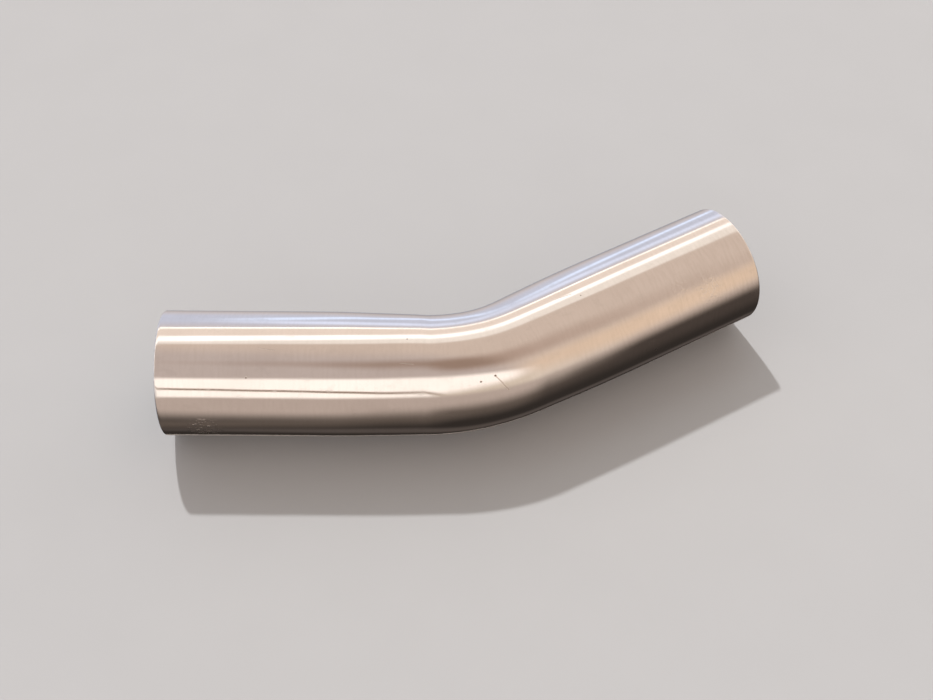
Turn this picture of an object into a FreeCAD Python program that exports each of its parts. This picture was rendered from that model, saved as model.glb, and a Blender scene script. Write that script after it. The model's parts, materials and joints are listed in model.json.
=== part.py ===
import FreeCAD, Part
import math
import os
import Sketcher

# Bent flue tube with plain ends: a strip rolled into a tube, closed along its length by a
# seam weld that is dressed flush, bent once on a mandrel and cut square at both ends.
# Frame: the tube lies on Z = 0 with its bend level. Its ends point to -X and +X and lean
# towards +Y, and the YZ plane halves the bend. Millimetres and degrees.
driving_sizes = [
    ("outer_diameter", 50.8),  # outside of the tube, 2 inches
    ("wall", 1.5),             # thickness of the rolled strip
    ("bend_radius", 76.2),     # radius of the centreline, 1.5 diameters
    ("bend_angle", 30.0),      # how far the bend turns
    ("leg_length", 105.0),     # straight length beyond each end of the bend
    ("seam_width", 2.4),       # weld between the edges of the strip, across the outside
    ("seam_angle", 32.0),      # seam below the outer side of the bend, about the centreline
    ("edge_break", 0.4),       # chamfer on the outer and inner edges of both cut ends
]

doc = FreeCAD.newDocument("flue_elbow")
sheet = doc.addObject("Spreadsheet::Sheet", "sizes")
for row, (alias, value) in enumerate(driving_sizes, start=1):
    sheet.set(f"A{row}", alias)
    sheet.set(f"B{row}", str(value))
    sheet.setAlias(f"B{row}", alias)
doc.recompute()

outer_radius = "(sizes.outer_diameter / 2)"
inner_radius = "(sizes.outer_diameter / 2 - sizes.wall)"
half_turn = "(sizes.bend_angle * 1 deg / 2)"
weld_middle = "((180 + sizes.seam_angle) * 1 deg)"
weld_half_angle = "asin(sizes.seam_width / sizes.outer_diameter)"

# An end of the centreline, along X and along Y from the middle of the bend.
end_along = f"(sizes.leg_length * cos({half_turn}) + sizes.bend_radius * sin({half_turn}))"
end_aside = f"(sizes.leg_length * sin({half_turn}) + sizes.bend_radius * (1 - cos({half_turn})))"
# The tube reaches one radius to -Y of the middle of the bend. Its furthest point to +Y is on
# the outside of an end, where the chamfer starts.
furthest = f"({end_aside} + {outer_radius} * cos({half_turn}) - sizes.edge_break * sin({half_turn}))"
middle_aside = f"(({furthest} - {outer_radius}) / 2)"

# The points that a sketch constraint names: the two ends of a line or an arc, the centre of
# an arc, and the origin of the sketch.
first_point, last_point, centre_point = 1, 2, 3
sketch_origin = (-1, 1)
up = FreeCAD.Vector(0, 0, 1)


def new_sketch(body, name, role):
    sketch = body.newObject("Sketcher::SketchObject", f"{body.Name}_{name}")
    plane = next(feature for feature in body.Origin.OriginFeatures if feature.Role == role)
    sketch.AttachmentSupport = [(plane, "")]
    sketch.MapMode = "FlatFace"
    return sketch


def hold(sketch, kind, *geometry):
    sketch.addConstraint(Sketcher.Constraint(kind, *geometry))


def drive(sketch, name, kind, geometry, value, expression):
    index = sketch.addConstraint(Sketcher.Constraint(kind, geometry, value))
    sketch.renameConstraint(index, name)
    sketch.setExpression(f"Constraints.{name}", expression)


def draw_centreline(body):
    """A straight leg from the tube's -X end, then the bend, then the other leg."""
    leg = sheet.leg_length
    radius = sheet.bend_radius
    turn = math.radians(sheet.bend_angle)
    bend_start = FreeCAD.Vector(leg, 0, 0)
    bend_end = bend_start + FreeCAD.Vector(math.sin(turn), 1 - math.cos(turn), 0) * radius
    far_end = bend_end + FreeCAD.Vector(math.cos(turn), math.sin(turn), 0) * leg
    circle = Part.Circle(FreeCAD.Vector(leg, radius, 0), up, radius)

    sketch = new_sketch(body, "centreline", "XY_Plane")
    near_leg = sketch.addGeometry(Part.LineSegment(FreeCAD.Vector(0, 0, 0), bend_start))
    bend = sketch.addGeometry(Part.ArcOfCircle(circle, -math.pi / 2, turn - math.pi / 2))
    far_leg = sketch.addGeometry(Part.LineSegment(bend_end, far_end))
    hold(sketch, "Coincident", near_leg, first_point, *sketch_origin)
    hold(sketch, "Horizontal", near_leg)
    hold(sketch, "Tangent", near_leg, last_point, bend, first_point)
    hold(sketch, "Tangent", bend, last_point, far_leg, first_point)
    drive(sketch, "near_leg", "Distance", near_leg, leg, "sizes.leg_length")
    drive(sketch, "far_leg", "Distance", far_leg, leg, "sizes.leg_length")
    drive(sketch, "radius", "Radius", bend, radius, "sizes.bend_radius")
    drive(sketch, "turn", "Angle", far_leg, turn, "sizes.bend_angle * 1 deg")
    return sketch


def draw_section(body, from_angle, to_angle, from_expression, to_expression):
    """The stretch of the tube's ring between two radial edges, anticlockwise seen from +X."""
    outside = sheet.outer_diameter / 2
    inside = outside - sheet.wall
    middle = FreeCAD.Vector(0, 0, 0)

    sketch = new_sketch(body, "section", "YZ_Plane")
    arcs = []
    for radius in (outside, inside):
        circle = Part.Circle(middle, up, radius)
        arc = sketch.addGeometry(Part.ArcOfCircle(circle, from_angle, to_angle))
        hold(sketch, "Coincident", arc, centre_point, *sketch_origin)
        arcs.append(arc)
    edges = []
    for angle, arc_point in ((from_angle, first_point), (to_angle, last_point)):
        outward = FreeCAD.Vector(math.cos(angle), math.sin(angle), 0)
        edge = sketch.addGeometry(Part.LineSegment(outward * inside, outward * outside))
        hold(sketch, "Coincident", edge, first_point, arcs[1], arc_point)
        hold(sketch, "Coincident", edge, last_point, arcs[0], arc_point)
        edges.append(edge)
    drive(sketch, "outside", "Radius", arcs[0], outside, outer_radius)
    drive(sketch, "inside", "Radius", arcs[1], inside, inner_radius)
    for edge, name, angle, expression in (
            (edges[0], "from_edge", from_angle, from_expression),
            (edges[1], "to_edge", to_angle, to_expression)):
        hold(sketch, "PointOnObject", *sketch_origin, edge)
        drive(sketch, name, "Angle", edge, angle, expression)
    return sketch


def bent_length(label, from_angle, to_angle, from_expression, to_expression):
    """A stretch of the ring carried along the centreline, with its cut edges broken."""
    body = doc.addObject("PartDesign::Body", label)
    body.Label = label
    path = draw_centreline(body)
    section = draw_section(body, from_angle, to_angle, from_expression, to_expression)
    pipe = body.newObject("PartDesign::AdditivePipe", f"{label}_pipe")
    pipe.Profile = section
    pipe.Spine = (path, ["Edge1", "Edge2", "Edge3"])
    section.Visibility = path.Visibility = False
    doc.recompute()

    tube_ends = [path.Shape.Vertexes[0].Point, path.Shape.Vertexes[-1].Point]
    cut_arcs = [
        f"Edge{number}" for number, edge in enumerate(pipe.Shape.Edges, start=1)
        if isinstance(edge.Curve, Part.Circle)
        and any(edge.Curve.Center.isEqual(point, 1e-3) for point in tube_ends)]
    if len(cut_arcs) != 4:
        raise RuntimeError(f"{label} has {len(cut_arcs)} cut arcs, not an outer and an inner one at each end")
    chamfer = body.newObject("PartDesign::Chamfer", f"{label}_broken_edges")
    chamfer.Base = (pipe, cut_arcs)
    chamfer.setExpression("Size", "sizes.edge_break")

    clockwise = FreeCAD.Rotation(-up, sheet.bend_angle / 2)
    body.Placement = FreeCAD.Placement(FreeCAD.Vector(0, 0, 0), clockwise)
    body.setExpression("Placement.Rotation.Angle", half_turn)
    body.setExpression("Placement.Base.x", f"-{end_along}")
    body.setExpression("Placement.Base.y", f"{end_aside} - {middle_aside}")
    body.setExpression("Placement.Base.z", outer_radius)
    return body


seam = math.radians(180 + sheet.seam_angle)
half_weld = math.asin(sheet.seam_width / sheet.outer_diameter)
below_weld = f"{weld_middle} + {weld_half_angle}"
above_weld = f"{weld_middle} - {weld_half_angle}"
tube = bent_length("tube", seam + half_weld, seam - half_weld + 2 * math.pi, below_weld, above_weld)
seam_weld = bent_length("seam_weld", seam - half_weld, seam + half_weld, above_weld, below_weld)

doc.recompute()
for item in doc.Objects:
    if "Invalid" in item.State or "Error" in item.State:
        raise RuntimeError(f"{item.Name} did not compute: {item.State}")

path_length = 2 * sheet.leg_length + sheet.bend_radius * math.radians(sheet.bend_angle)
ring_area = math.pi * sheet.wall * (sheet.outer_diameter - sheet.wall)
volumes = 0
os.makedirs("parts", exist_ok=True)
for body in (tube, seam_weld):
    shape = body.Shape
    if shape.isNull() or not shape.isValid() or len(shape.Solids) != 1:
        raise RuntimeError(f"{body.Label} is not one valid solid")
    shape.exportStep(f"parts/{body.Label}.step")
    volumes += shape.Volume
    box = shape.optimalBoundingBox()
    print(body.Label, round(shape.Volume, 1), "mm3",
          [round(v, 2) for v in (box.XMin, box.XMax, box.YMin, box.YMax, box.ZMin, box.ZMax)])
print("both pieces fill", round(volumes / (ring_area * path_length), 4), "of the ring's path")
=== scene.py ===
import bpy
import json
import math
import numpy as np
from mathutils import Matrix, Vector


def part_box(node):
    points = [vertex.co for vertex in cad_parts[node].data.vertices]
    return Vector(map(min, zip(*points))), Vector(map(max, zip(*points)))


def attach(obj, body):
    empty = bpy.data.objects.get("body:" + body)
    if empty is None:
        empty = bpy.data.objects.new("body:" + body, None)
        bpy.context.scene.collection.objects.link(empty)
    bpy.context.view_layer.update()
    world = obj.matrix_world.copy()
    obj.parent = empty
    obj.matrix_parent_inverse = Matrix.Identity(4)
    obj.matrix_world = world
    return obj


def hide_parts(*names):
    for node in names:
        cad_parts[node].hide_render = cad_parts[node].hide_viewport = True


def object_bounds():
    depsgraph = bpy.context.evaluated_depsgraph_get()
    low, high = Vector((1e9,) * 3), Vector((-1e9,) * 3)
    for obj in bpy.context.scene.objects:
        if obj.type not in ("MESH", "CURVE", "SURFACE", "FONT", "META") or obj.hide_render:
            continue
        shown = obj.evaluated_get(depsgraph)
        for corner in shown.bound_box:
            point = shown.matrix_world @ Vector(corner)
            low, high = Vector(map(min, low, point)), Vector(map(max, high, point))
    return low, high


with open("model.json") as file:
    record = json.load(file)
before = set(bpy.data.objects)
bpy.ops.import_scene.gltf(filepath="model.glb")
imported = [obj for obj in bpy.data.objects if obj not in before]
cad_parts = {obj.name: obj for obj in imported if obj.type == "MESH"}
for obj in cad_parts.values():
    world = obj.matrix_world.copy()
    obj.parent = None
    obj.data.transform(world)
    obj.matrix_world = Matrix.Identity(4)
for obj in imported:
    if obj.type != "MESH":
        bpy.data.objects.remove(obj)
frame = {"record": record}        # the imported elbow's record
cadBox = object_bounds()
print("frame loaded")

mm = 0.001


def mount(name):
    return next(m for m in frame["record"]["mounts"] if m["name"] == name)


# The tube's own measures, read from its plain ends and from where the weld lies.
nearEnd, farEnd, nearBore = mount("left_spigot"), mount("right_spigot"), mount("left_bore")
outerRadius = nearEnd["dims"]["r_mm"] * mm
wall = outerRadius - nearBore["dims"]["r_mm"] * mm
legLength = nearEnd["dims"]["length_mm"] * mm
axisHeight = nearEnd["pos_m"][2]
up = np.array([0.0, 0.0, 1.0])
nearOut, farOut = np.array(nearEnd["axis"]), np.array(farEnd["axis"])   # out of each mouth
bendStart = np.array(nearEnd["pos_m"]) - nearOut * legLength / 2
bendStop = np.array(farEnd["pos_m"]) - farOut * legLength / 2
turn = math.acos(-nearOut @ farOut)
bendRadius = np.linalg.norm(bendStop - bendStart) / (2 * math.sin(turn / 2))
bendLength = bendRadius * turn
tubeLength = 2 * legLength + bendLength

weldLow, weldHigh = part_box("seam_weld")
weldUpperEdge = math.pi + math.asin((axisHeight - weldHigh[2]) / (outerRadius - wall))
weldLowerEdge = math.pi + math.asin((axisHeight - weldLow[2]) / outerRadius)
weldAngle = (weldUpperEdge + weldLowerEdge) / 2
wayRound = 2 * math.pi * outerRadius


# A point of the centreline at a distance from the near mouth, with the level direction to
# the bend's inner side. The heading turns evenly with the distance inside the bend, and the
# legs run straight on from its two ends.
def centreLine(distance):
    first = -nearOut
    inner = np.cross(up, first)
    beyond = distance - legLength
    heading = np.clip(beyond / bendRadius, 0, turn)
    along = np.cos(heading)[..., None] * first + np.sin(heading)[..., None] * inner
    spare = beyond - heading * bendRadius     # below zero on the near leg, above it on the far one
    point = (bendStart + (bendRadius * np.sin(heading))[..., None] * first
             + (bendRadius * (1 - np.cos(heading)))[..., None] * inner
             + spare[..., None] * along)
    return point, np.cross(up, along)


# From 0 to 1 while value goes from low to high, level at both ends.
def easeStep(value, low, high):
    t = np.clip((value - low) / (high - low), 0, 1)
    return t * t * (3 - 2 * t)


def bell(value, middle, width):
    return np.exp(-((value - middle) / width) ** 2)


tubeShape = {
    "innerDraw": 2.26 * mm,    # how far bending drew the inner side of the bend in
    "outerDraw": 1.39 * mm,    # and the outer side
    "drawReach": 44 * mm,      # that draw fades out this far past each end of the bend
    "edgeRound": 0.62 * mm,    # broken edges of the cut ends
    "cutLean": 1.2,            # degrees that the near end is sawn out of square
    "leanReach": 40 * mm,      # the lean dies out this far along the leg
    "lengthSteps": 318,        # mesh steps along the tube
    "roundSteps": 136,         # mesh steps round it
    "cornerPoints": 6,         # points on each rounded corner of the cut ends
    "waves": 0.012 * mm,       # height of the slight unevenness of a drawn tube
    "bendWaves": 0.05 * mm,    # and what bending adds to it
    "waveTop": 2.3,            # the waves hang this many heights under the full radius
    "footStart": 0.02,         # they fade in between these rises above the lowest line,
    "footStop": 0.3,           # as shares of the radius
    "dieMark": 0.05 * mm,      # depth of the line that the bending die left at the bend's start
    "dieMarkWidth": 2.6 * mm,
    "dieMarkSide": 58,         # degrees up from the bend's inner side
    "dentHalfWidth": 1.5 * mm,
    "dents": [                 # distance, degrees round, depth, half length
        (106.0, 56, 0.16, 3.0),
        (111.0, 73, 0.06, 1.6),
        (35.8, 132, 0.02, 1.4),
        (64.0, 118, 0.03, 3.0),
        (178.0, 97, 0.03, 3.5),
        (222.0, 141, 0.05, 1.5),
        (226.5, 137, 0.04, 1.8),
        (231.5, 142, 0.05, 1.4),
        (14.5, 181, 0.10, 1.5),
        (18.7, 200, 0.12, 1.6),
        (22.5, 190, 0.08, 1.3),
    ],
}


# How far the outside lies from the centreline: the radius, less the draw of the bend (the
# square of the cosine on each side, fading out along the legs), less the die's mark and the
# dents (bells), plus low waves made of three sine products.
def outsideRadius(distance, angle):
    reach = tubeShape["drawReach"]

    def bendShare(place):
        rise = easeStep(place, legLength - reach, legLength + reach)
        return rise * easeStep(tubeLength - place, legLength - reach, legLength + reach)

    share = bendShare(distance) / bendShare(np.array(tubeLength / 2))
    inward = np.cos(angle)
    draw = share * np.where(inward > 0, tubeShape["innerDraw"], tubeShape["outerDraw"]) * inward ** 2
    side = np.clip(np.cos(angle - math.radians(tubeShape["dieMarkSide"])), 0, 1) ** 3
    marks = (bell(distance, legLength + 1 * mm, tubeShape["dieMarkWidth"])
             + 0.5 * bell(distance, legLength + bendLength, tubeShape["dieMarkWidth"]))
    pressed = tubeShape["dieMark"] * side * marks
    for place, degrees, depth, halfLength in tubeShape["dents"]:
        aside = outerRadius * (angle - math.radians(degrees))
        dent = bell(distance, place * mm, halfLength * mm) * bell(aside, 0, tubeShape["dentHalfWidth"])
        pressed = pressed + depth * mm * dent
    waves = (np.sin(distance / (9 * mm) + 2 * np.cos(angle)) * np.sin(3 * angle)
             + 0.8 * np.sin(distance / (23 * mm) + 1.3) * np.cos(5 * angle + distance / (60 * mm))
             + 0.5 * np.sin(distance / (4 * mm)) * np.cos(2 * angle + 1))
    # the lowest line stays where it stands
    foot = easeStep(np.abs(np.sin(angle) + 1), tubeShape["footStart"], tubeShape["footStop"])
    height = tubeShape["waves"] + tubeShape["bendWaves"] * share
    return outerRadius - draw - pressed + height * (waves - tubeShape["waveTop"]) * foot


# The wall's outline cut lengthwise: out along the outside, round the far cut edge, back along
# the bore and round the near one. The four corners are quarter circles. Each point is a
# distance along the tube and a depth under the outside.
def wallOutline(thickness):
    corner = tubeShape["edgeRound"]
    quarter = np.linspace(0, math.pi / 2, tubeShape["cornerPoints"])
    run = np.linspace(corner, tubeLength - corner, tubeShape["lengthSteps"] + 1)[1:-1]
    bow, drop = corner * np.sin(quarter), corner * (1 - np.cos(quarter))
    outside = np.concatenate([corner - bow[::-1], run, tubeLength - corner + bow])
    shallow = np.concatenate([drop[::-1], np.zeros(len(run)), drop])
    distance = np.concatenate([outside, outside[::-1]])
    depth = np.concatenate([shallow, thickness - shallow[::-1]])
    return distance, depth


# A closed shell from two grids: the wall's outline all the way round from the first angle to
# the last, with the two open edges closed by strips from the outside across to the bore.
# The cells on the rounded corners and across the ends take the cut's finish, and the rows
# between them the outside's or the bore's.
def shellPiece(name, angles, insideBulge=None):
    distance, depth = wallOutline(wall)
    d, a = np.meshgrid(distance, angles, indexing="ij")
    deep = np.broadcast_to(depth[:, None], d.shape)
    radius = outsideRadius(d, a) - deep
    if insideBulge is not None:
        radius = radius - insideBulge(d, a) * easeStep(deep, wall / 2, wall)
    # the near cut leans a little, most at its top and bottom, and the lean dies out along the leg
    lean = math.tan(math.radians(tubeShape["cutLean"])) * outerRadius * np.sin(a)
    point, aside = centreLine(d - lean * easeStep(d, tubeShape["leanReach"], 0))
    points = point + radius[..., None] * (np.cos(a)[..., None] * aside + np.sin(a)[..., None] * up)

    rows, columns = d.shape
    index = np.arange(rows * columns).reshape(rows, columns)
    nextRow = np.roll(index, -1, axis=0)
    cells = np.stack([index[:, :-1], index[:, 1:], nextRow[:, 1:], nextRow[:, :-1]], axis=-1)
    half = rows // 2
    firstSide, otherSide = index[:half], index[::-1][:half]
    strips = []
    for column, flip in ((0, False), (-1, True)):
        strip = np.stack([firstSide[:-1, column], firstSide[1:, column],
                          otherSide[1:, column], otherSide[:-1, column]], axis=-1)
        strips.append(strip[:, ::-1] if flip else strip)
    faces = np.concatenate([cells.reshape(-1, 4)] + strips)

    mesh = bpy.data.meshes.new(name)
    mesh.from_pydata(points.reshape(-1, 3).tolist(), [], faces.tolist())
    piece = bpy.data.objects.new(name, mesh)
    bpy.context.scene.collection.objects.link(piece)

    # the map holds metres along the tube and metres round it from the weld
    surfaceMap = mesh.uv_layers.new(name="alongAndRound")
    corner = np.zeros(len(mesh.loops), dtype=np.int64)
    mesh.loops.foreach_get("vertex_index", corner)
    flat = np.stack([d.ravel(), ((a - weldAngle) * outerRadius).ravel()], axis=-1)[corner]
    surfaceMap.data.foreach_set("uv", flat.astype(np.float32).ravel())

    # which finish each face takes: 0 outside, 1 bore, 2 cut end
    cutRows = tubeShape["cornerPoints"]
    byRow = np.zeros(rows, dtype=np.int64)
    byRow[half - cutRows:half + cutRows - 1] = 2
    byRow[half + cutRows - 1:rows - cutRows] = 1
    byRow[rows - cutRows:] = 2
    byRow[:cutRows - 1] = 2
    finish = np.concatenate([np.repeat(byRow, columns - 1), np.ones(2 * (half - 1), dtype=np.int64)])
    mesh.polygons.foreach_set("material_index", finish.astype(np.int32))
    mesh.polygons.foreach_set("use_smooth", np.ones(len(faces), dtype=bool))

    # the two open edges stay sharp, so that the shading runs on evenly over the joint
    ends = np.zeros(len(mesh.edges) * 2, dtype=np.int64)
    mesh.edges.foreach_get("vertices", ends)
    column = (ends % columns).reshape(-1, 2)
    sharp = ((column == 0) | (column == columns - 1)).all(axis=1)
    mesh.edges.foreach_set("use_edge_sharp", sharp)
    mesh.update()
    return piece


# Maths on shader sockets. A Wire is one output; the operators add Math nodes.
class Wire:
    def __init__(self, finish, socket):
        self.finish, self.socket = finish, socket

    def combine(self, operation, *values):
        sockets = {i: v for i, v in enumerate(values)}
        return self.finish.node("ShaderNodeMath", {"operation": operation}, sockets)

    def __add__(self, other):
        return self.combine("ADD", self, other)

    def __radd__(self, other):
        return self.combine("ADD", other, self)

    def __sub__(self, other):
        return self.combine("SUBTRACT", self, other)

    def __rsub__(self, other):
        return self.combine("SUBTRACT", other, self)

    def __mul__(self, other):
        return self.combine("MULTIPLY", self, other)

    def __rmul__(self, other):
        return self.combine("MULTIPLY", other, self)

    def __truediv__(self, other):
        return self.combine("DIVIDE", self, other)

    def __pow__(self, other):
        return self.combine("POWER", self, other)

    def atLeast(self, other):
        return self.combine("MAXIMUM", self, other)

    def atMost(self, other):
        return self.combine("MINIMUM", self, other)

    # 0 below low and 1 above high, eased; a high under low turns it round
    def step(self, low, high):
        settings = {"interpolation_type": "SMOOTHSTEP"}
        if low < high:
            return self.finish.node("ShaderNodeMapRange", settings, {"Value": self, 1: low, 2: high})
        return self.finish.node("ShaderNodeMapRange", settings,
                                {"Value": self, 1: high, 2: low, 3: 1.0, 4: 0.0})


# A node tree being filled, for a material or for the world.
class Finish:
    def __init__(self, name=None, tree=None):
        if tree is None:
            self.material = bpy.data.materials.new(name)
            self.material.use_nodes = True
            tree = self.material.node_tree
        self.tree = tree
        tree.nodes.clear()

    def node(self, kind, settings=None, sockets=None, output=0):
        made = self.tree.nodes.new(kind)
        for key, value in (settings or {}).items():
            setattr(made, key, value)
        for key, value in (sockets or {}).items():
            socket = made.inputs[key]
            if isinstance(value, Wire):
                self.tree.links.new(value.socket, socket)
            else:
                socket.default_value = value
        return Wire(self, made.outputs[output]) if len(made.outputs) else None

    # a Mix node's sockets 6 and 7 are its two colours, and its output 2 is the mixed one
    def mixColour(self, share, one, other):
        solid = {k: (*v, 1) if isinstance(v, tuple) else v for k, v in ((6, one), (7, other))}
        return self.node("ShaderNodeMix", {"data_type": "RGBA"}, {0: share, **solid}, output=2)

    # the piece's map, pulled apart into metres along the tube and metres round it
    def surfacePlace(self):
        place = self.node("ShaderNodeUVMap", {"uv_map": "alongAndRound"})
        self.along = self.node("ShaderNodeSeparateXYZ", None, {0: place}, output=0)
        self.around = self.node("ShaderNodeSeparateXYZ", None, {0: place}, output=1)

    # noise stretched over the surface: sizes of its grains along and round the tube
    def grain(self, alongSize, aroundSize, detail, seed):
        at = self.node("ShaderNodeCombineXYZ", None,
                       {0: self.along / alongSize, 1: self.around / aroundSize, 2: seed})
        return self.node("ShaderNodeTexNoise", None,
                         {"Vector": at, "Scale": 1.0, "Detail": detail, "Roughness": 0.55})

    # 1 on a straight scratch and 0 beyond its width: the distance from a segment
    def scratch(self, start, stop, width):
        (a0, r0), (a1, r1) = start, stop
        da, dr = a1 - a0, r1 - r0
        alongIt, aroundIt = self.along - a0, self.around - r0
        share = (alongIt * (da / (da * da + dr * dr)) + aroundIt * (dr / (da * da + dr * dr)))
        share = share.atLeast(0.0).atMost(1.0)
        offAlong, offAround = alongIt - share * da, aroundIt - share * dr
        return ((offAlong * offAlong + offAround * offAround) ** 0.5).step(width, width * 0.3)

    # 1 in a round spot, fading out from the given share of its size
    def spot(self, place, size, fade):
        a, r = self.along - place[0], self.around - place[1]
        return ((a * a + r * r) ** 0.5).step(size, size * fade)

    def surface(self, colour, roughness, height, bumpDepth, metallic=1.0):
        bump = self.node("ShaderNodeBump", None,
                         {"Strength": 1.0, "Distance": bumpDepth, "Height": height})
        shader = self.node("ShaderNodeBsdfPrincipled", None,
                           {"Base Color": colour, "Roughness": roughness, "Metallic": metallic,
                            "Normal": bump})
        self.node("ShaderNodeOutputMaterial", None, {"Surface": shader})
        return self.material


# metres along and round for a place given in millimetres and degrees round the tube
def spotAt(distance, degrees):
    return distance * mm, (math.radians(degrees) + 2 * math.pi - weldAngle) % (2 * math.pi) * outerRadius


outsideFinish = {
    "steel": (0.80, 0.72, 0.67),
    "steelDull": (0.72, 0.645, 0.595),
    "smudged": (0.66, 0.60, 0.55),
    "heatTint": (0.74, 0.62, 0.48),
    "dressed": (0.86, 0.80, 0.75),
    "streaked": (0.68, 0.60, 0.54),
    "rubbed": (0.90, 0.84, 0.78),
    "scratched": (0.42, 0.32, 0.25),
    "pitted": (0.22, 0.16, 0.12),
    "specked": (0.5, 0.45, 0.4),
    "roughness": 0.065,
    "bendDulling": 0.045,      # extra roughness where the bend has stretched the skin
    "grainDepth": 0.16,        # belt grain round the tube, as a share of the bump's depth
    "streakDepth": 0.5,
    "bumpDepth": 0.004 * mm,
    "seamBand": 3.4 * mm,      # half width of the belt-dressed band over the weld
    "thinBand": 0.45,          # share of that width in the middle of the tube
    "endWear": 7 * mm,         # rubbed length at each mouth
    "grains": {                # grain sizes along and round the tube, detail, seed
        "belt": (0.16 * mm, 9 * mm, 3.0, 1.0),        # the finest belt lines, round the tube
        "streak": (1.1 * mm, 7 * mm, 3.0, 4.0),       # wider ones
        "drawn": (60 * mm, 0.5 * mm, 2.0, 9.0),       # faint lines along it, from drawing
        "cloud": (26 * mm, 15 * mm, 3.0, 14.0),       # handling haze
        "smudge": (9 * mm, 5 * mm, 4.0, 21.0),
        "speck": (0.5 * mm, 0.5 * mm, 1.0, 30.0),
        "ragged": (3 * mm, 40 * mm, 2.0, 17.0),       # the band's uneven edge
        "hairs": (0.30 * mm, 2.2 * mm, 2.0, 51.0),
        "knocks": (2.1 * mm, 1.5 * mm, 2.0, 63.0),
        "dressing": (0.35 * mm, 3 * mm, 2.0, 40.0),
    },
    "scratches": [             # distance and degrees at both ends, width in mm
        (128.2, 136.5, 130.2, 145.5, 0.34),
        (130.0, 145.0, 131.8, 154.0, 0.22),
        (96.0, 118.0, 101.0, 119.0, 0.16),
        (40.0, 105.0, 47.0, 107.5, 0.15),
        (160.0, 88.0, 169.0, 90.5, 0.15),
        (16.4, 196.0, 21.5, 203.0, 0.45),
        (70.0, 21.0, 79.0, 26.0, 0.12),
        (150.0, 300.0, 190.0, 308.0, 0.2),
        (70.0, 250.0, 84.0, 262.0, 0.22),
    ],
    "scuffs": [                # distance, degrees, half size in mm and strength of rubbed patches
        (226.0, 139.0, 9.0, 1.0),
        (212.0, 128.0, 6.0, 0.6),
        (17.5, 189.0, 9.0, 3.0),
        (190.0, 250.0, 9.0, 1.0),
    ],
    "spots": [                 # distance, degrees, size in mm
        (123.3, 139.5, 0.55),
        (128.2, 136.5, 0.55),
        (35.8, 132.0, 0.5),
        (196.7, 181.0, 0.6),
        (98.4, 95.0, 0.4),
        (172.0, 96.0, 0.4),
    ],
}


def makeOutside(name, overWeld=False):
    steel = Finish(name)
    steel.surfacePlace()
    around = steel.around.atLeast(0.0)
    fromWeld = around.atMost(wayRound - around)
    if overWeld:
        fromWeld = steel.around * steel.around / mm      # the square is positive on both sides
    inBend = (steel.along.step(legLength - 30 * mm, legLength + 10 * mm)
              * steel.along.step(tubeLength - legLength + 30 * mm, tubeLength - legLength - 10 * mm))

    grains = {kind: steel.grain(*values) for kind, values in outsideFinish["grains"].items()}
    streak, cloud = grains["streak"], grains["cloud"]
    smudge = grains["smudge"].step(0.56, 0.72)
    speck = grains["speck"].step(0.72, 0.80)
    wear = outsideFinish["endWear"]
    ends = (steel.along.step(wear, 0.6 * mm)
            + steel.along.step(tubeLength - wear, tubeLength - 0.6 * mm)).atMost(1.0)

    # the dressed band over the weld is wide near the mouths and thin in the middle
    nearMouths = (steel.along.step(100 * mm, 40 * mm)
                  + steel.along.step(tubeLength - 60 * mm, tubeLength - 10 * mm)).atMost(1.0)
    bandShare = outsideFinish["thinBand"] + (1 - outsideFinish["thinBand"]) * nearMouths
    ragged = fromWeld + (grains["ragged"] - 0.5) * (1.6 * mm)
    band = (ragged / bandShare).step(outsideFinish["seamBand"], outsideFinish["seamBand"] * 0.7)
    tint = (fromWeld + (cloud - 0.5) * (6 * mm)).step(9 * mm, 2 * mm)

    scratched = 0.0
    for a0, r0, a1, r1, width in outsideFinish["scratches"]:
        scratched = steel.scratch(spotAt(a0, r0), spotAt(a1, r1), width * mm) + scratched
    scratched = scratched.atMost(1.0)
    pitted = 0.0
    for place, degrees, size in outsideFinish["spots"]:
        pitted = steel.spot(spotAt(place, degrees), size * mm, 0.4) + pitted
    pitted = pitted.atMost(1.0)
    scuffed = 0.0
    for place, degrees, size, strength in outsideFinish["scuffs"]:
        scuffed = steel.spot(spotAt(place, degrees), size * mm, 0.2) * strength + scuffed
    knocked = scuffed * grains["knocks"].step(0.48, 0.74)
    rubbed = scuffed.atMost(1.0) * grains["hairs"].step(0.54, 0.68)
    # the far leg is duller towards its mouth
    satin = steel.along.step(legLength + bendLength, tubeLength)

    colour = outsideFinish["steel"]
    for share, tone in (
        (cloud.step(0.35, 0.75) * 0.55, "steelDull"),
        (smudge * 0.25, "smudged"),
        (tint * 0.35, "heatTint"),
        (band * 0.55, "dressed"),
        (streak.step(0.35, 0.7) * (0.16 + satin * 0.2), "streaked"),
        ((rubbed * 0.45 + knocked * 0.3).atMost(1.0), "rubbed"),
        (scratched * 0.5, "scratched"),
        (pitted * 0.8, "pitted"),
        (speck * 0.25, "specked"),
    ):
        colour = steel.mixColour(share, colour, outsideFinish[tone])

    roughness = (outsideFinish["roughness"] + inBend * outsideFinish["bendDulling"]
                 + satin * 0.05 + (streak - 0.5) * 0.06 + (cloud - 0.45) * 0.07 + smudge * 0.07
                 + rubbed * 0.16 + knocked * 0.12 + ends * 0.04 + band * 0.28
                 + scratched * 0.2 + pitted * 0.3)
    height = (grains["belt"] * outsideFinish["grainDepth"] + streak * outsideFinish["streakDepth"]
              + satin * streak * 0.5 + grains["drawn"] * 0.10 + cloud * 1.2
              + rubbed * 0.8 + knocked * 16.0 - scratched * 2.5 - pitted * 4.0 - speck * 0.5
              + band * (grains["dressing"] * 1.6))
    return steel.surface(colour, roughness, height, outsideFinish["bumpDepth"], 1 - band * 0.6)


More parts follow.
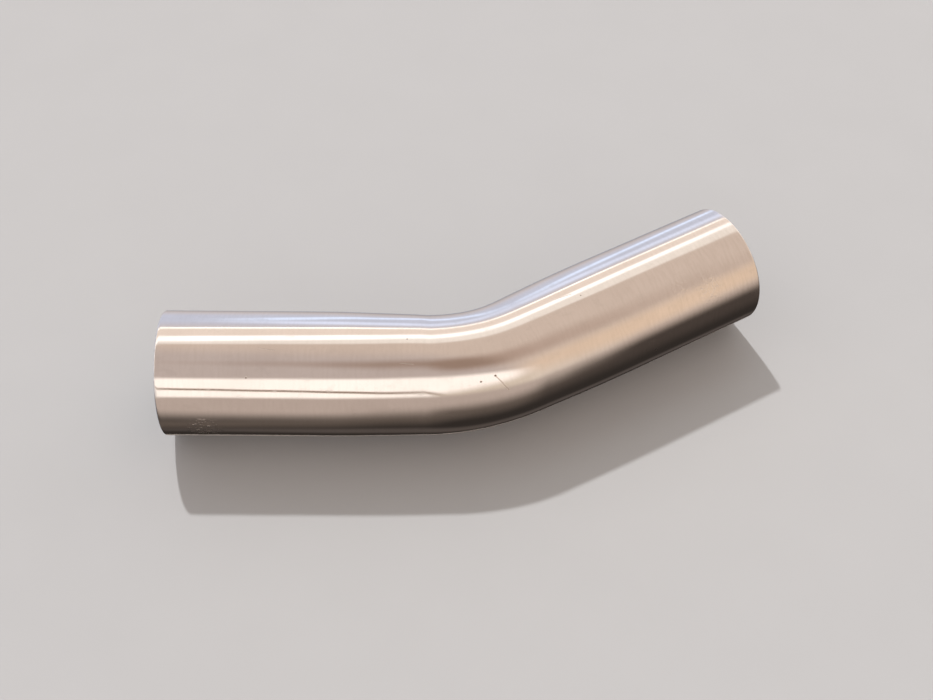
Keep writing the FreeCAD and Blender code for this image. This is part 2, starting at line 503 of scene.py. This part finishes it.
boreLook = {
    "mill": (0.62, 0.60, 0.58),
    "worn": (0.74, 0.71, 0.68),
    "heatTint": (0.42, 0.33, 0.24),
    "drawLine": (0.40, 0.385, 0.37),
    "roughness": 0.30,
    "metallic": 0.6,           # mill scale keeps it from being a clean mirror
    "bumpDepth": 0.008 * mm,
}


def makeBore(name):
    steel = Finish(name)
    steel.surfacePlace()
    drawn = steel.grain(35 * mm, 0.35 * mm, 3.0, 3.0)
    scale = steel.grain(5 * mm, 4 * mm, 5.0, 8.0)
    pickle = steel.grain(0.35 * mm, 0.35 * mm, 2.0, 12.0)
    around = steel.around.atLeast(0.0)
    fromWeld = around.atMost(wayRound - around)
    tint = (fromWeld + (scale - 0.5) * (5 * mm)).step(8 * mm, 1.5 * mm)
    colour = steel.mixColour(scale.step(0.3, 0.7), boreLook["mill"], boreLook["worn"])
    colour = steel.mixColour(tint * 0.6, colour, boreLook["heatTint"])
    colour = steel.mixColour(drawn.step(0.45, 0.7) * 0.3, colour, boreLook["drawLine"])
    roughness = boreLook["roughness"] + scale * 0.16 + drawn * 0.08 + tint * 0.08
    height = drawn + pickle * 0.7 + scale * 1.5
    return steel.surface(colour, roughness, height, boreLook["bumpDepth"], boreLook["metallic"])


cutLook = {
    "bright": (0.84, 0.79, 0.74),
    "worn": (0.68, 0.62, 0.57),
    "roughness": 0.14,
    "bumpDepth": 0.006 * mm,
}


def makeCut(name):
    steel = Finish(name)
    steel.surfacePlace()
    saw = steel.grain(0.12 * mm, 1.6 * mm, 3.0, 2.0)
    worn = steel.grain(1.5 * mm, 3.5 * mm, 3.0, 6.0)
    colour = steel.mixColour(worn.step(0.35, 0.7), cutLook["bright"], cutLook["worn"])
    roughness = cutLook["roughness"] + worn * 0.14 + saw * 0.08
    return steel.surface(colour, roughness, saw * 1.2 + worn * 1.5, cutLook["bumpDepth"])


beadShape = {
    "bulge": 0.30 * mm,        # how far the root stands into the bore
    "ripple": 0.05 * mm,
    "rippleEvery": 1.5 * mm,
    "rippleLag": 0.35,         # part of a ripple that the sides trail by
    "roundSteps": 8,           # mesh steps across the weld
}


# The root bead inside: a crown across the weld, the cosine of the way from its middle, with
# crescent ripples that lag behind at the sides.
def rootBead(distance, angle):
    side = (angle - weldAngle) / ((weldLowerEdge - weldUpperEdge) / 2)
    crown = np.cos(np.clip(side, -1, 1) * math.pi / 2)
    lag = beadShape["rippleLag"] * side ** 2
    ripple = np.sin(2 * math.pi * (distance / beadShape["rippleEvery"] + lag))
    return crown * (beadShape["bulge"] + beadShape["ripple"] * ripple)


roundTube = np.linspace(weldLowerEdge, weldUpperEdge + 2 * math.pi, tubeShape["roundSteps"] + 1)
tubeWall = shellPiece("tubeWall", roundTube)
boreFinish, cutFinish = makeBore("mill grey bore"), makeCut("sawn and deburred edge")
for finish in (makeOutside("belt polished stainless"), boreFinish, cutFinish):
    tubeWall.data.materials.append(finish)
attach(tubeWall, "root")
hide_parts("tube")
print("tube wall built:", len(tubeWall.data.polygons), "faces")

acrossWeld = np.linspace(weldUpperEdge, weldLowerEdge, beadShape["roundSteps"] + 1)
weldStrip = shellPiece("weldStrip", acrossWeld, rootBead)
for finish in (makeOutside("dressed weld", overWeld=True), boreFinish, cutFinish):
    weldStrip.data.materials.append(finish)
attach(weldStrip, "root")
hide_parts("seam_weld")
print("weld built:", len(weldStrip.data.polygons), "faces")

floorLook = {
    "tone": (0.40, 0.40, 0.405),
    "flatOut": 15.0,           # metres of flat floor before it sweeps up into the backdrop
    "sweep": 3.0,
    "tall": 4.6,
    "innerShare": 0.001,       # the first ring, as a share of the flat run
    "flatRings": 25,
    "sweepRings": 16,
    "spokes": 96,
    "mottle": 0.02,            # how far the tone wanders, as a share of it
}


# The floor and backdrop in one: rings whose distance out and height follow a flat run, then a
# quarter circle, then a straight rise. The rings lie closer near the elbow.
def makeFloor():
    flat, sweep, tall = floorLook["flatOut"], floorLook["sweep"], floorLook["tall"]
    t = np.linspace(0, 1, floorLook["flatRings"])
    bend = np.linspace(0, math.pi / 2, floorLook["sweepRings"] + 1)[1:]
    first = floorLook["innerShare"]
    level = flat * (first + (1 - first) * t ** 3)
    out = np.concatenate([level, flat + sweep * np.sin(bend), [flat + sweep]])
    height = np.concatenate([0 * t, sweep * (1 - np.cos(bend)), [tall]])
    turnRound = np.linspace(0, 2 * math.pi, floorLook["spokes"] + 1)[:-1]
    o, a = np.meshgrid(out, turnRound, indexing="ij")
    z = np.broadcast_to(height[:, None], o.shape)
    points = np.stack([o * np.cos(a), o * np.sin(a), z], axis=-1)
    index = np.arange(o.size).reshape(o.shape)
    nextTurn = np.roll(index, -1, axis=1)
    faces = np.stack([index[:-1], index[1:], nextTurn[1:], nextTurn[:-1]], axis=-1).reshape(-1, 4)
    mesh = bpy.data.meshes.new("floor")
    mesh.from_pydata(points.reshape(-1, 3).tolist(), [], faces.tolist() + [index[0].tolist()])
    mesh.polygons.foreach_set("use_smooth", np.ones(len(mesh.polygons), dtype=bool))
    floor = bpy.data.objects.new("floor", mesh)
    bpy.context.scene.collection.objects.link(floor)
    floor.visible_shadow = False       # the key and the panels shine through the backdrop
    floor.visible_glossy = False       # the steel mirrors the room's dark ground instead
    paint = Finish("pale floor")
    place = paint.node("ShaderNodeTexCoord", output="Object")
    mottle = paint.node("ShaderNodeTexNoise", None, {"Vector": place, "Scale": 30.0, "Detail": 4.0})
    tone, wander = floorLook["tone"], floorLook["mottle"]
    darker = tuple(c * (1 - wander) for c in tone)
    lighter = tuple(c * (1 + wander) for c in tone)
    colour = paint.mixColour(mottle, darker, lighter)
    paint.surface(colour, 0.75, mottle, 0.02 * mm, 0.0)
    mesh.materials.append(paint.material)


makeFloor()
print("floor laid")

# The room round the elbow is a set of soft panels. A panel's tip is how far it is tipped up
# from the far horizon, over the elbow and down to the near one (180), across a level line
# that lies across the heading. Its side is the angle to the right of that arc. All in degrees.
studio = {
    "heading": -30,            # from +Y towards +X
    "left": (0.62, 0.55, 0.52),
    "right": (0.76, 0.65, 0.57),
    "blend": (-14, 4),         # sides between which left turns to right
    "lowest": 60.0,            # a tip this far under the far horizon counts as the near ground
    "panels": {                # tip low, high, softness; side low, high, softness; lean; colour
        "far ground": (-90, -34, 26, -90, 90, 1, 0, (0.30, 0.33, 0.40)),
        "far daylight": (-20, 40, 22, -90, 90, 1, 0, (0.70, 0.77, 0.95)),
        "blue strip": (95, 105, 4, 36, 90, 3, -2.4, (1.02, 1.22, 1.58)),
        "second blue": (20, 31, 4, 34, 90, 3, 0, (0.95, 1.08, 1.36)),
        "cream strip": (50, 69.5, 2.0, -90, 90, 1, 0.45, (1.10, 1.05, 0.98)),
        "thin strip": (39.6, 43.2, 0.4, -90, 90, 1, 0, (1.9, 1.85, 1.75)),
        "peach strip": (43.2, 59, 0.6, -90, 90, 1, 0, (1.04, 0.93, 0.84)),
        "white strip": (58.5, 67, 1.5, -90, 90, 1, 0, (1.65, 1.65, 1.65)),
        "card shade": (112, 137, 10, -14, 15, 10, 0.5, (0.56, 0.44, 0.37)),
        "dark card": (109, 136, 9, -20, -2, 6, 0.5, (0.38, 0.28, 0.225)),
        "front window": (159, 290, 5, -70, 0, 11, 0.95, (1.42, 1.36, 1.30)),
        "warm panel": (150, 177, 10, 0, 70, 10, 0, (0.92, 0.74, 0.58)),
        "window bar": (232.4, 240.0, 2.0, -70, -32, 4, 1.8, (0.36, 0.28, 0.22)),
        "window sill": (168, 205, 8, -38, 3, 7, 0, (0.82, 0.73, 0.62)),
        "under the window": (185, 300, 5, -90, 6, 9, 0.3, (0.58, 0.50, 0.45)),
        "left ground": (229, 400, 20, -90, -26, 8, 0, (0.080, 0.070, 0.064)),
        "middle ground": (204, 400, 13, -37, 90, 10, 0, (0.150, 0.125, 0.108)),
        "right ground": (189.5, 400, 14, 4, 90, 8, 0, (0.075, 0.062, 0.055)),
        "deep ground": (226, 400, 16, -24, 90, 12, 0, (0.036, 0.031, 0.028)),
        "lit ground": (257, 272, 6, -20, 40, 8, 0, (0.100, 0.086, 0.080)),
        "left wall": (0, 165, 14, -90, -58, 5, 0, (0.82, 0.80, 0.80)),
        "left light": (38, 96, 9, -90, -60, 4, 0.1, (1.30, 1.27, 1.24)),
        "right light": (10, 170, 12, 50, 90, 4, 0, (1.5, 1.42, 1.35)),
    },
    "sunHeading": -7, "sunHeight": 50, "sunPower": 2.6, "sunSpread": 2.0,
}


def direction(azimuth, elevation):
    a, e = math.radians(azimuth), math.radians(elevation)
    return Vector((math.sin(a) * math.cos(e), math.cos(a) * math.cos(e), math.sin(e)))


def lightStudio():
    world = bpy.data.worlds.new("studio room")
    bpy.context.scene.world = world
    world.use_nodes = True
    room = Finish(tree=world.node_tree)
    toward = room.node("ShaderNodeTexCoord", output="Generated")
    x, y, z = [room.node("ShaderNodeSeparateXYZ", None, {0: toward}, output=i) for i in range(3)]
    far = direction(studio["heading"], 0)
    ahead = x * far.x + y * far.y
    rightward = x * far.y - y * far.x
    degree, lowest = math.degrees(1), studio["lowest"]
    tip = z.combine("FLOORED_MODULO", z.combine("ARCTAN2", z, ahead) * degree + lowest, 360.0) - lowest
    side = rightward.combine("ARCSINE", rightward.atLeast(-1.0).atMost(1.0)) * degree
    colour = room.mixColour(side.step(*studio["blend"]), studio["left"], studio["right"])
    for low, high, soft, left, right, sideSoft, lean, glow in studio["panels"].values():
        tipped = tip - side * lean
        share = (tipped.step(low - soft, low + soft) * tipped.step(high + soft, high - soft)
                 * side.step(left - sideSoft, left + sideSoft)
                 * side.step(right + sideSoft, right - sideSoft))
        colour = room.mixColour(share, colour, glow)
    shade = room.node("ShaderNodeBackground", None, {"Color": colour, "Strength": 1.0})
    room.node("ShaderNodeOutputWorld", None, {"Surface": shade})

    sun = bpy.data.lights.new("key", "SUN")
    sun.energy = studio["sunPower"]
    sun.angle = math.radians(studio["sunSpread"])
    key = bpy.data.objects.new("key", sun)
    key.rotation_mode = "QUATERNION"
    toSun = direction(studio["sunHeading"], studio["sunHeight"])
    key.rotation_quaternion = toSun.to_track_quat("Z", "Y")
    key.visible_glossy = False
    bpy.context.scene.collection.objects.link(key)


lightStudio()
print("studio lit")

cameraPlace = {
    "heading": 15.82, "down": 50.84, "roll": 1.067,      # degrees
    "distance": 0.5989, "aside": 0.1 * mm, "nearer": 3.55 * mm,
    "lens": 55.87, "sensor": 36.0,
}


def placeCamera():
    middle = (Vector(cadBox[0]) + Vector(cadBox[1])) / 2
    aim = middle + Vector((cameraPlace["aside"], -cameraPlace["nearer"], 0))
    look = direction(cameraPlace["heading"], -cameraPlace["down"])
    heading, roll = math.radians(cameraPlace["heading"]), math.radians(cameraPlace["roll"])
    level = Vector((math.cos(heading), -math.sin(heading), 0))
    upright = level.cross(look)
    right = level * math.cos(roll) + upright * math.sin(roll)
    top = upright * math.cos(roll) - level * math.sin(roll)
    camera = bpy.data.cameras.new("camera")
    camera.lens, camera.sensor_width = cameraPlace["lens"], cameraPlace["sensor"]
    camera.clip_start = 0.02
    holder = bpy.data.objects.new("camera", camera)
    turned = Matrix((right, top, -look)).transposed().to_4x4()
    holder.matrix_world = Matrix.Translation(aim - look * cameraPlace["distance"]) @ turned
    bpy.context.scene.collection.objects.link(holder)
    bpy.context.scene.camera = holder


placeCamera()
bpy.context.scene.view_settings.view_transform = "Standard"
print("camera placed")
